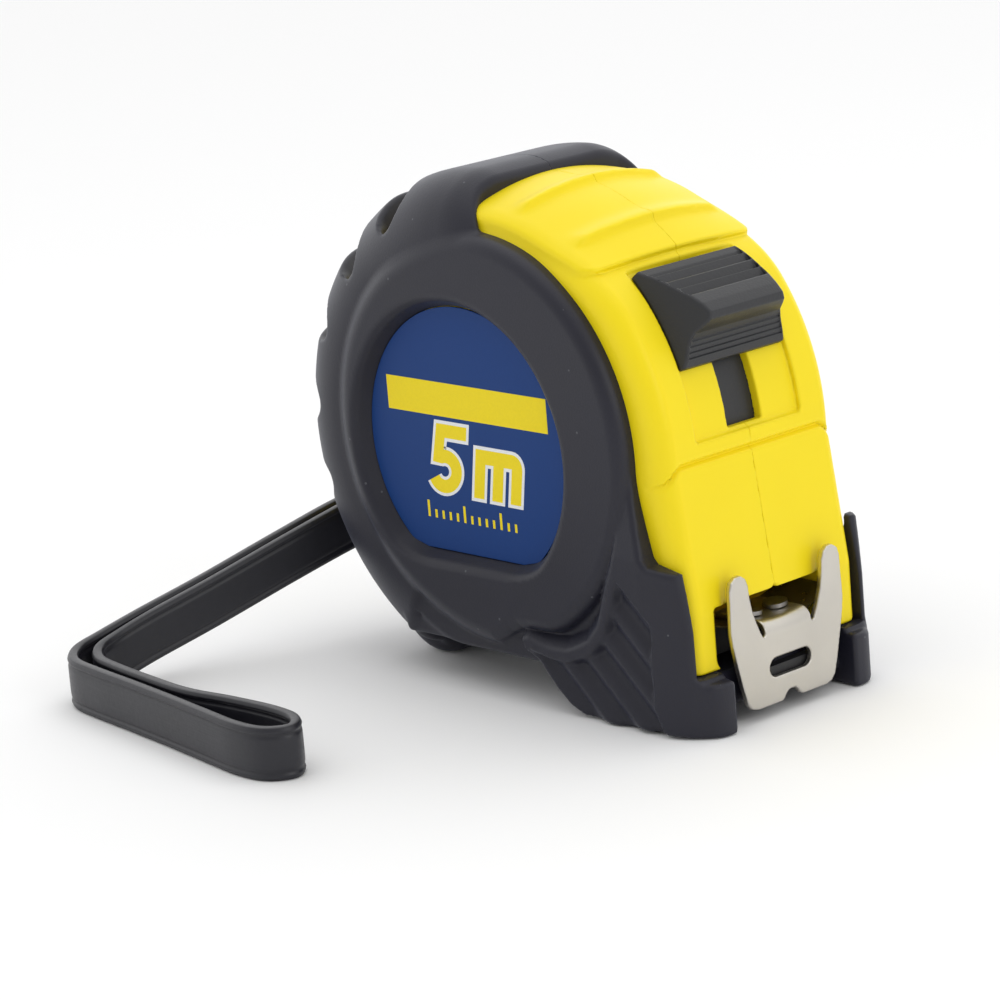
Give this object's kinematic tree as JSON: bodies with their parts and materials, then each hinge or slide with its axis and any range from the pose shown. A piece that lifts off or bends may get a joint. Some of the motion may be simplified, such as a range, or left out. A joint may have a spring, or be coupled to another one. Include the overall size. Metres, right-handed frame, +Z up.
{
  "type": "tape measure",
  "caption": "Pocket tape measure with a soft-gripped two-part case, sprung steel tape, end hook, sliding thumb lock and looped wrist strap.",
  "frame": {"origin": "centre of the tape measure's footprint without its strap, on the surface that it stands on", "axes": "+X points out of the mouth along the tape, +Z up, +Y across the case; the case is symmetric about Y = 0 apart from its screws"},
  "size_m": [0.1033, 0.0887, 0.0796],
  "materials": {
    "yellow_abs": "moulded ABS with a soft satin gloss",
    "soft_grip": "matte fine-grained overmould",
    "printed_label": "printed film label",
    "plated_steel": "zinc-plated steel",
    "spring_steel": "blued spring steel",
    "drum_plastic": "natural acetal",
    "painted_tape": "yellow enamel under clear coat",
    "slip_film": "clear polyester film",
    "hook_steel": "nickel-plated pressed steel",
    "black_plastic": "moulded black plastic",
    "strap_vinyl": "extruded soft vinyl strap"
  },
  "bodies": {
    "case": {"case_left": "yellow_abs", "case_right": "yellow_abs", "grip_left": "soft_grip", "grip_right": "soft_grip", "label_left": "printed_label", "label_right": "printed_label", "center_post": "plated_steel", "mainspring": "spring_steel", "side_washers": "slip_film", "mouth_bumper": "soft_grip", "blade_guide": "black_plastic", "case_screws": "plated_steel", "strap_pin": "plated_steel", "wrist_strap": "strap_vinyl"},
    "drum": {"drum": "drum_plastic", "drum_cover": "drum_plastic", "wound_tape": "painted_tape"},
    "tape": {"tape_blade": "painted_tape", "hook_rivets": "plated_steel"},
    "hook": {"end_hook": "hook_steel"},
    "lock": {"lock_button": "black_plastic", "brake_strip": "black_plastic", "brake_pad": "soft_grip"}
  },
  "joints": [
    {"name": "tape_pull", "type": "slide", "parent": "case", "child": "tape", "axis": [1, 0, 0], "range_m": [0, 0.03], "stiffness_N_per_m": 15, "springref_m": -0.2},
    {"name": "drum_spin", "type": "hinge", "parent": "case", "child": "drum", "pos_m": [-0.0033, 0, 0.0386], "axis": [0, -1, 0], "range_deg": [0, 70]},
    {"name": "hook_float", "type": "slide", "parent": "tape", "child": "hook", "axis": [1, 0, 0], "range_m": [0, 0.001]},
    {"name": "lock_slide", "type": "hinge", "parent": "case", "child": "lock", "pos_m": [0.0003, 0, 0.0392], "axis": [0, 1, 0], "range_deg": [0, 13]}
  ],
  "couplings": [
    {"joint": "drum_spin", "follows": "tape_pull", "rad_per_m": 40}
  ]
}
